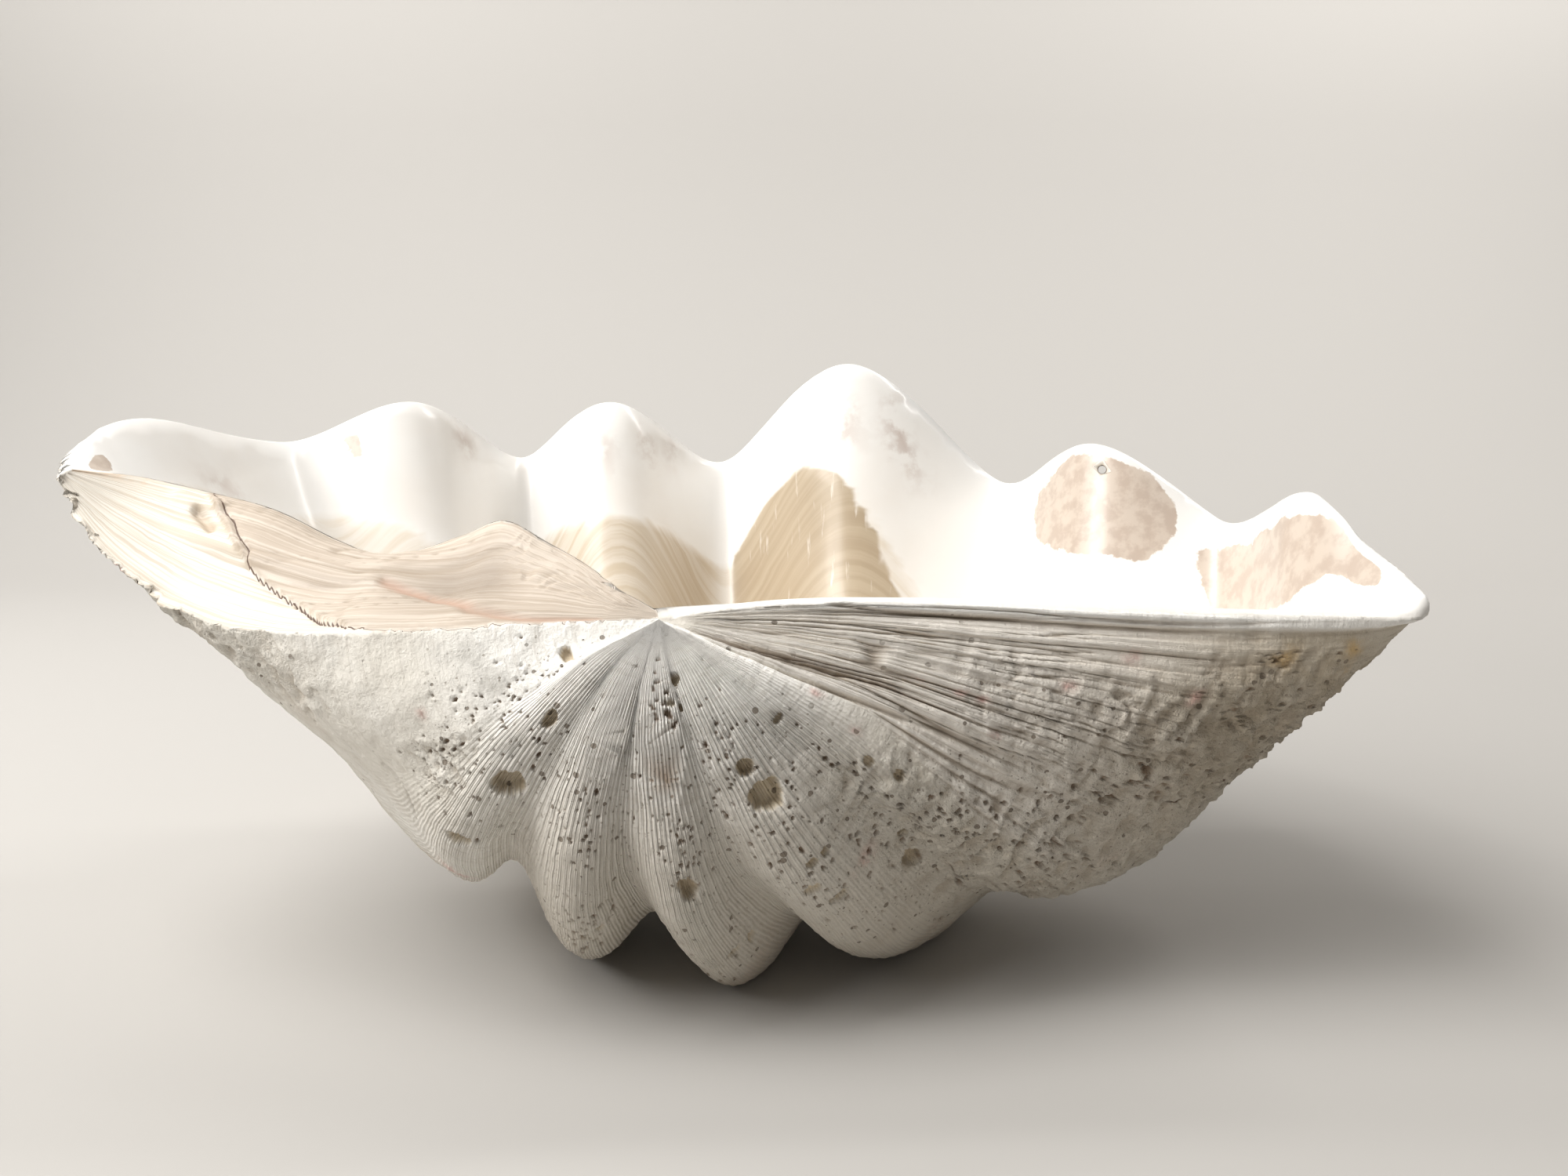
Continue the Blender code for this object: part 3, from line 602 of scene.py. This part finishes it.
valve = bpy.data.objects.new("valve", mesh)
bpy.context.collection.objects.link(valve)
bpy.ops.object.select_all(action="DESELECT")
valve.select_set(True)
bpy.context.view_layer.objects.active = valve
bpy.ops.object.mode_set(mode="EDIT")
bpy.ops.mesh.select_all(action="SELECT")
bpy.ops.mesh.remove_doubles(threshold=0.000001)
bpy.ops.mesh.select_all(action="SELECT")
bpy.ops.mesh.quads_convert_to_tris()
bpy.ops.mesh.normals_make_consistent(inside=False)
bpy.ops.object.mode_set(mode="OBJECT")

# flat stretches keep few triangles, and holes and ridges keep many
MOST_TRIANGLES = 196000
thinning = valve.modifiers.new("thinning", "DECIMATE")
thinning.ratio = MOST_TRIANGLES / len(mesh.polygons)
bpy.ops.object.modifier_apply(modifier="thinning")

# a borer went right through the lobe at peak 4, along a way that is nearly level
BORED_LOBE = (10.05, 0.988)
BORED_LOBE_RADIUS = 2.7 * MM
BORE_LENGTH = 40 * MM
BORE_WAY = (0.28, 1, 0)
i = int(np.argmin(np.abs(lines - BORED_LOBE[0])))
j = int(np.argmin(np.abs(stages - BORED_LOBE[1])))
bpy.ops.object.select_all(action="DESELECT")
bpy.ops.mesh.primitive_cylinder_add(
    vertices=24, radius=BORED_LOBE_RADIUS, depth=BORE_LENGTH, location=plain[i, j] + BEAK,
    rotation=Vector(BORE_WAY).to_track_quat("Z", "Y").to_euler(),
)
drill = bpy.context.active_object
bore = valve.modifiers.new("bore", "BOOLEAN")
bore.operation = "DIFFERENCE"
bore.solver = "EXACT"
bore.object = drill
bpy.ops.object.select_all(action="DESELECT")
valve.select_set(True)
bpy.context.view_layer.objects.active = valve
bpy.ops.object.modifier_apply(modifier="bore")
bpy.data.objects.remove(drill, do_unlink=True)
# everything stays inside the solid's own box
INSET = 0.02 * MM
places = np.empty(len(mesh.vertices) * 3, np.float32)
mesh.vertices.foreach_get("co", places)
lowest = np.array(cad_box[0]) + (INSET, INSET, 0)
highest = np.array(cad_box[1]) - INSET
places = np.clip(places.reshape(-1, 3), lowest, highest)
mesh.vertices.foreach_set("co", places.astype(np.float32).reshape(-1))
bpy.ops.object.shade_smooth()


# The shell's finish: dry chalky lime outside, with pores, fine riblets, dirt and painted shade in every
# hollow and stains of algae and rust; cream lines on the shelf; and glazed porcelain white inside.
class Value:
    """A value in a material's nodes, with which sums are written as plain formulas."""

    def __init__(self, tree, socket):
        self.tree = tree
        self.socket = socket

    def make(self, kind, settings=(), values=(), output=0):
        """Any other node: its type, its settings, then the values or links of its sockets."""
        node = self.tree.nodes.new(kind)
        for name, setting in dict(settings).items():
            setattr(node, name, setting)
        for name, value in dict(values).items():
            if isinstance(value, Value):
                self.tree.links.new(value.socket, node.inputs[name])
            else:
                node.inputs[name].default_value = value
        return Value(self.tree, node.outputs[output])

    def sum(self, operation, *values):
        return self.make("ShaderNodeMath", {"operation": operation}, enumerate((self, *values)))

    def __add__(self, other):
        return self.sum("ADD", other)

    __radd__ = __add__

    def __mul__(self, other):
        return self.sum("MULTIPLY", other)

    __rmul__ = __mul__

    def __sub__(self, other):
        return self.sum("SUBTRACT", other)

    def __rsub__(self, other):
        return (self * -1) + other

    def ease(self, start, end):
        """Smooth step from 0 at start to 1 at end."""
        settings = {"interpolation_type": "SMOOTHSTEP"}
        return self.make("ShaderNodeMapRange", settings, {0: self, 1: start, 2: end, 3: 0.0, 4: 1.0})

    def mix(self, first, second):
        """Colour from first to second as this value goes from 0 to 1."""
        return self.make("ShaderNodeMix", {"data_type": "RGBA"}, {0: self, 6: first, 7: second}, 2)


def colour(red, green, blue):
    return (red, green, blue, 1.0)


finish = bpy.data.materials.new("shell lime")
finish.use_nodes = True
tree = finish.node_tree
surface = tree.nodes["Principled BSDF"]
start = Value(tree, None)


def zone(name):
    return start.make("ShaderNodeAttribute", {"attribute_name": name}, (), 2)


where = start.make("ShaderNodeTexCoord", (), (), 3)
uv = start.make("ShaderNodeUVMap", {"uv_map": "growth"})
split = start.make("ShaderNodeSeparateXYZ", (), {0: uv})
u_line = split * LAST_LINE
length = start.make("ShaderNodeSeparateXYZ", (), {0: uv}, 1)


def speckle(scale, detail=3.0, roughness=0.55, vector=where):
    return start.make("ShaderNodeTexNoise", (), {"Vector": vector, "Scale": scale, "Detail": detail,
                                                 "Roughness": roughness})


def stretched(x, y, z=1.0):
    """The unrolled face, drawn out: x per rib line, y per metre of growth."""
    return start.make("ShaderNodeCombineXYZ", (), {0: u_line * x, 1: length * y, 2: z})


def pores(scale, share, seed):
    """Round pores of mixed sizes in a share of the cells of a pattern: 1 in a pore."""
    shifted = start.make("ShaderNodeVectorMath", {"operation": "ADD"}, {0: where, 1: (seed, seed * 0.7, 0)})
    cell = {"Vector": shifted, "Scale": scale}
    away = start.make("ShaderNodeTexVoronoi", (), cell)
    tint = start.make("ShaderNodeTexVoronoi", (), cell, 1)
    chance = start.make("ShaderNodeSeparateColor", (), {0: tint})
    return (((chance - (1 - share)) * (0.42 / share)) - away).ease(0.0, 0.05)


RIBLETS_PER_LINE = 24
inside, shelf_zone, dirt_and_shade_zone, hole_zone = zone("inside"), zone("shelf"), zone("dirt_and_shade"), zone("hole")
bored_zone, crust_zone, fibre, groove_zone = zone("bored"), zone("crust"), zone("ligament"), zone("groove")

grain = speckle(420, 4)
patchy = speckle(14, 5)
blotchy = speckle(55, 5, 0.62)
bands_fine = speckle(1.0, 4, 0.6, stretched(1.2, 420))
riblet_drift = speckle(1.0, 2, 0.5, stretched(3.0, 30)) * 9
riblet_wave = ((u_line * (2 * math.pi * RIBLETS_PER_LINE)) + riblet_drift).sum("SINE")
riblet_zone = (0.45 + patchy.ease(0.62, 0.42) * 0.55) * (1 - crust_zone * 0.8) * (1 - fibre)
riblet_zone = riblet_zone * (1 - bored_zone * 0.5)
riblet_zone = riblet_zone * u_line.ease(1.8, 2.8) * u_line.ease(11.2, 10.2)
coarse_drift = speckle(1.0, 2, 0.5, stretched(2.0, 30)) * 7
coarse_wave = ((u_line * (2 * math.pi * FLUTES_PER_LINE)) + coarse_drift).sum("SINE")
near_beak = length.ease(0.20, 0.08) * length.ease(0.006, 0.02)
near_beak = near_beak * u_line.ease(1.8, 2.8) * u_line.ease(11.6, 10.8)
fibre_lines = speckle(1.0, 5, 0.65, stretched(30.0, 9.0))
fibre_fine = speckle(1.0, 4, 0.6, stretched(90.0, 16.0))
small_pores = pores(240, 0.13, 0.3) * (bored_zone * 0.8 + crust_zone * 0.3 + blotchy - 0.42).ease(0.0, 0.25)
tiny_pores = pores(620, 0.22, 0.7) * (bored_zone + crust_zone * 0.4 + speckle(70, 3) - 0.56).ease(0.0, 0.3)
slits = (speckle(1.0, 3, 0.6, stretched(26.0, 260.0)).ease(0.62, 0.70) * speckle(26, 3).ease(0.48, 0.6)
         * u_line.ease(3.4, 4.4) * u_line.ease(12.5, 11.5) * length.ease(0.10, 0.16))

lime = patchy.ease(0.35, 0.7).mix(colour(0.76, 0.725, 0.655), colour(0.84, 0.815, 0.76))
lime = (u_line.ease(3.4, 4.8) * (0.50 + patchy.ease(0.3, 0.7) * 0.2)).mix(lime, colour(0.54, 0.50, 0.435))
lime = (length.ease(0.11, 0.26) * u_line.ease(3.2, 4.6) * 0.45).mix(lime, colour(0.62, 0.545, 0.43))
lime = (length.ease(0.13, 0.05) * u_line.ease(12.2, 11.4) * 0.8).mix(lime, colour(0.90, 0.885, 0.85))
lime = (near_beak * coarse_wave.ease(0.1, 1.0) * 0.55).mix(lime, colour(0.50, 0.46, 0.41))
warm_cloud = speckle(24, 4, 0.6).ease(0.52, 0.66)
lime = (length.ease(0.16, 0.24) * warm_cloud * 0.4).mix(lime, colour(0.58, 0.46, 0.36))
lime = (bands_fine.ease(0.52, 0.66) * 0.40).mix(lime, colour(0.58, 0.54, 0.48))
lime = (blotchy.ease(0.55, 0.8) * 0.30).mix(lime, colour(0.70, 0.66, 0.58))
lime = (riblet_zone * riblet_wave.ease(0.3, 1.0) * 0.60).mix(lime, colour(0.46, 0.42, 0.36))
lime = (crust_zone * 0.5 * blotchy.ease(0.3, 0.6)).mix(lime, colour(0.64, 0.59, 0.50))
# weathered brown lime on the lower right end, and painted shade there
weathering_and_shade_zone = zone("weathering_and_shade") * (0.55 + blotchy.ease(0.35, 0.65) * 0.45)
lime = weathering_and_shade_zone.mix(lime, colour(0.38, 0.315, 0.225))
lime = (fibre * length.ease(0.32, 0.20) * 0.85).mix(lime, colour(0.91, 0.86, 0.79))
lime = (fibre * fibre_lines.ease(0.52, 0.68) * 0.45).mix(lime, colour(0.62, 0.54, 0.44))
lime = (fibre * fibre_fine.ease(0.60, 0.72) * 0.5).mix(lime, colour(0.42, 0.33, 0.24))
lime = (zone("bead") * 0.85).mix(lime, colour(0.93, 0.915, 0.88))
# dirt and painted shade darken the hollows
lime = (dirt_and_shade_zone * 0.6).mix(lime, colour(0.46, 0.385, 0.295))
lime = (zone("grey") * blotchy.ease(0.35, 0.6) * 0.55).mix(lime, colour(0.48, 0.46, 0.42))
hole_tint = patchy.ease(0.3, 0.7).mix(colour(0.56, 0.455, 0.315), colour(0.74, 0.64, 0.48))
lime = (hole_zone * 0.85).mix(lime, hole_tint)
lime = (groove_zone * blotchy.ease(0.25, 0.5) * 0.8).mix(lime, colour(0.28, 0.21, 0.14))
lime = (zone("pink") * blotchy.ease(0.35, 0.55) * 0.8).mix(lime, colour(0.62, 0.32, 0.28))
lime = (zone("amber") * blotchy.ease(0.40, 0.6) * 0.7).mix(lime, colour(0.66, 0.42, 0.14))
lime = (slits * 0.75).mix(lime, colour(0.34, 0.27, 0.19))
lime = (zone("crevices") * 0.9).mix(lime, colour(0.17, 0.11, 0.07))
lime = (small_pores * 0.85).mix(lime, colour(0.20, 0.16, 0.12))
lime = (tiny_pores * 0.6).mix(lime, colour(0.26, 0.21, 0.16))
lime = (zone("borer") * 0.9).mix(lime, colour(0.28, 0.195, 0.13))

# porcelain: white near the rim, creamier inside the mantle's edge line
streaks = speckle(1.0, 4, 0.6, stretched(26.0, 22.0))
rings = speckle(1.0, 3, 0.55, stretched(0.8, 130.0))
cloud = speckle(9, 4)
glaze = cloud.ease(0.4, 0.65).mix(colour(0.94, 0.93, 0.91), colour(0.91, 0.885, 0.85))
cream = zone("mantle") * (0.30 + rings.ease(0.4, 0.7) * 0.35)
glaze = cream.mix(glaze, colour(0.70, 0.60, 0.46))
glaze = (zone("arch") * (0.45 + rings.ease(0.40, 0.60) * 0.35)).mix(glaze, colour(0.60, 0.50, 0.37))
tan_amount = (zone("tan") + speckle(60, 4, 0.6) * 0.3 - 0.15).ease(0.25, 0.75)
tan_amount = tan_amount * (0.95 - streaks.ease(0.60, 0.72) * 0.6)
tan_tint = rings.ease(0.35, 0.7).mix(colour(0.44, 0.345, 0.235), colour(0.52, 0.43, 0.31))
glaze = tan_amount.mix(glaze, tan_tint)
mottle = speckle(60, 4, 0.6).ease(0.40, 0.62)
glaze = (zone("mauve") * mottle * 0.7).mix(glaze, colour(0.52, 0.41, 0.36))
# peach stains, and painted shade at the inside's left tip
patch = (zone("peach_and_shade") * 1.5 + speckle(42, 5, 0.65) * 1.1 - 1.22).ease(0.0, 0.10)
patch_tint = speckle(90, 4, 0.6).ease(0.40, 0.62).mix(colour(0.60, 0.50, 0.41), colour(0.48, 0.37, 0.29))
glaze = (patch * 0.85).mix(glaze, patch_tint)

# cream shelf with fine lines along it, and the fibrous hinge tooth
shelf_lines = speckle(1.0, 4, 0.6, stretched(50.0, 6.0))
shelf_tint = shelf_lines.ease(0.42, 0.62).mix(colour(0.80, 0.76, 0.69), colour(0.62, 0.54, 0.44))
tooth_tint = shelf_lines.ease(0.35, 0.65).mix(colour(0.62, 0.535, 0.45), colour(0.47, 0.385, 0.305))
shelf_tint = (zone("tooth") * 0.9).mix(shelf_tint, tooth_tint)
shelf_tint = (zone("shade") * 0.8).mix(shelf_tint, colour(0.30, 0.245, 0.195))
shelf_tint = (zone("crease") * 0.7).mix(shelf_tint, colour(0.46, 0.28, 0.20))
# painted shade, peach-tan, on the inside just behind the shelf's back edge at the left tip
shelf_tint = (zone("painted_shade_band") * mottle * 0.75).mix(shelf_tint, colour(0.76, 0.58, 0.42))
# painted shadow in the hollow under the small ledge
shelf_tint = (zone("painted_ledge_shadow") * 0.7).mix(shelf_tint, colour(0.42, 0.32, 0.22))

# the three kinds of surface come together, with the fine cuts that cross them and a painted shadow line along
# the tooth's crack, and get their gloss
BUMP_DEPTH = 1.2 * MM
tint = shelf_zone.mix(inside.mix(lime, glaze), shelf_tint)
tint = (zone("strands") * 0.65).mix(tint, colour(0.34, 0.27, 0.20))
tint = zone("cracks").ease(0.35, 0.7).mix(tint, colour(0.14, 0.09, 0.06))
# a painted shadow line, near black, along the crack under the tooth's end
tint = zone("split").sum("ABSOLUTE").ease(1.1, 0.5).mix(tint, colour(0.12, 0.07, 0.045))
gloss = inside.sum("MAXIMUM", shelf_zone * 0.35)
chalk = (1 - inside) * (1 - shelf_zone)
bumps = chalk * (grain * 0.35 + blotchy * 0.30 + riblet_zone * riblet_wave * 0.26
                 - near_beak * coarse_wave * 0.4 + bands_fine * 0.5 - slits * 0.6 - small_pores * 0.8
                 - tiny_pores * 0.35 + fibre * (fibre_lines * 1.1 + fibre_fine * 0.5))
crumbs = speckle(170, 5, 0.7)
bumps = bumps + chalk * (crust_zone * 0.9 + 0.25) * crumbs.ease(0.35, 0.65)
bumps = bumps + shelf_zone * shelf_lines * 0.5 + inside * cloud * 0.05
normal = start.make("ShaderNodeBump", (), {"Height": bumps, "Distance": BUMP_DEPTH, "Strength": 0.9})
tree.links.new(tint.socket, surface.inputs["Base Color"])
tree.links.new((0.80 - gloss * 0.5).socket, surface.inputs["Roughness"])
tree.links.new((gloss * 0.3).socket, surface.inputs["Coat Weight"])
tree.links.new(normal.socket, surface.inputs["Normal"])
surface.inputs["Coat Roughness"].default_value = 0.2
mesh.materials.append(finish)

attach(valve, "root")
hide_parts("clam_shell")


# A plain pale floor that curves up into a wall behind the shell. It is a single bent sheet, wide
# enough to fill the view.
SWEEP_START, SWEEP_RADIUS, SWEEP_HEIGHT, SWEEP_HALF_WIDTH = 1.5, 1.2, 3.6, 4.5
profile = [(-2.5, 0.0), (SWEEP_START, 0.0)]
for step_number in range(1, 13):
    turn = math.radians(90 * step_number / 12)
    profile.append((SWEEP_START + SWEEP_RADIUS * math.sin(turn), SWEEP_RADIUS * (1 - math.cos(turn))))
profile.append((SWEEP_START + SWEEP_RADIUS, SWEEP_HEIGHT))
sweep_points = [(side * SWEEP_HALF_WIDTH, y, z) for y, z in profile for side in (-1, 1)]
sweep_faces = [(2 * k, 2 * k + 1, 2 * k + 3, 2 * k + 2) for k in range(len(profile) - 1)]
sweep_mesh = bpy.data.meshes.new("backdrop")
sweep_mesh.from_pydata(sweep_points, [], sweep_faces)
sweep_mesh.shade_smooth()
paper_white = bpy.data.materials.new("plain paper")
paper_white.use_nodes = True
paper_surface = paper_white.node_tree.nodes["Principled BSDF"]
paper_surface.inputs["Base Color"].default_value = (0.47, 0.455, 0.435, 1)
paper_surface.inputs["Roughness"].default_value = 0.9
sweep_mesh.materials.append(paper_white)
backdrop = bpy.data.objects.new("backdrop", sweep_mesh)
bpy.context.collection.objects.link(backdrop)


# Soft studio light from the upper left, with lamps that wash the wall behind, and the camera. Each
# lamp has its place, the point that it faces, its size and its power.
def soft_light(name, place, target, size, power, tint):
    lamp = bpy.data.lights.new(name, "AREA")
    lamp.shape = "RECTANGLE"
    lamp.size, lamp.size_y = size
    lamp.energy = power
    lamp.color = tint
    light = bpy.data.objects.new(name, lamp)
    light.location = place
    light.rotation_euler = (Vector(target) - Vector(place)).to_track_quat("-Z", "Y").to_euler()
    bpy.context.collection.objects.link(light)


DAYLIGHT = (1.0, 0.985, 0.96)
soft_light("window", (-0.9, -0.5, 2.2), (0.0, 0.0, 0.1), (1.2, 1.2), 38, DAYLIGHT)
soft_light("far window", (-2.2, -0.6, 2.0), (0.0, 0.0, 0.1), (1.6, 1.6), 22, DAYLIGHT)
soft_light("front left", (-1.6, -1.2, 1.8), (0.0, 0.0, 0.15), (1.2, 1.2), 32, DAYLIGHT)
soft_light("backdrop left", (-1.8, 0.9, 2.6), (-2.0, 2.7, 1.0), (2.0, 0.6), 50, DAYLIGHT)
soft_light("backdrop middle", (0.3, 0.8, 2.7), (0.3, 2.7, 0.9), (3.0, 0.6), 13, DAYLIGHT)
soft_light("backdrop right", (2.2, 0.9, 2.6), (2.0, 2.7, 1.0), (2.0, 0.6), 64, DAYLIGHT)
world = bpy.data.worlds.new("daylight")
world.use_nodes = True
world.node_tree.nodes["Background"].inputs["Color"].default_value = (1.0, 0.955, 0.89, 1)
world.node_tree.nodes["Background"].inputs["Strength"].default_value = 0.20
bpy.context.scene.world = world
bpy.context.scene.view_settings.view_transform = "Standard"

camera = bpy.data.cameras.new("camera")
camera.lens = 26.0
camera.sensor_width = 36.0
camera.clip_start = 0.01
eye = bpy.data.objects.new("camera", camera)
eye.location = (0.0377, -0.7069, 0.2858)
eye.rotation_euler = (math.radians(82.6), 0, 0)
bpy.context.collection.objects.link(eye)
bpy.context.scene.camera = eye

bpy.context.view_layer.update()
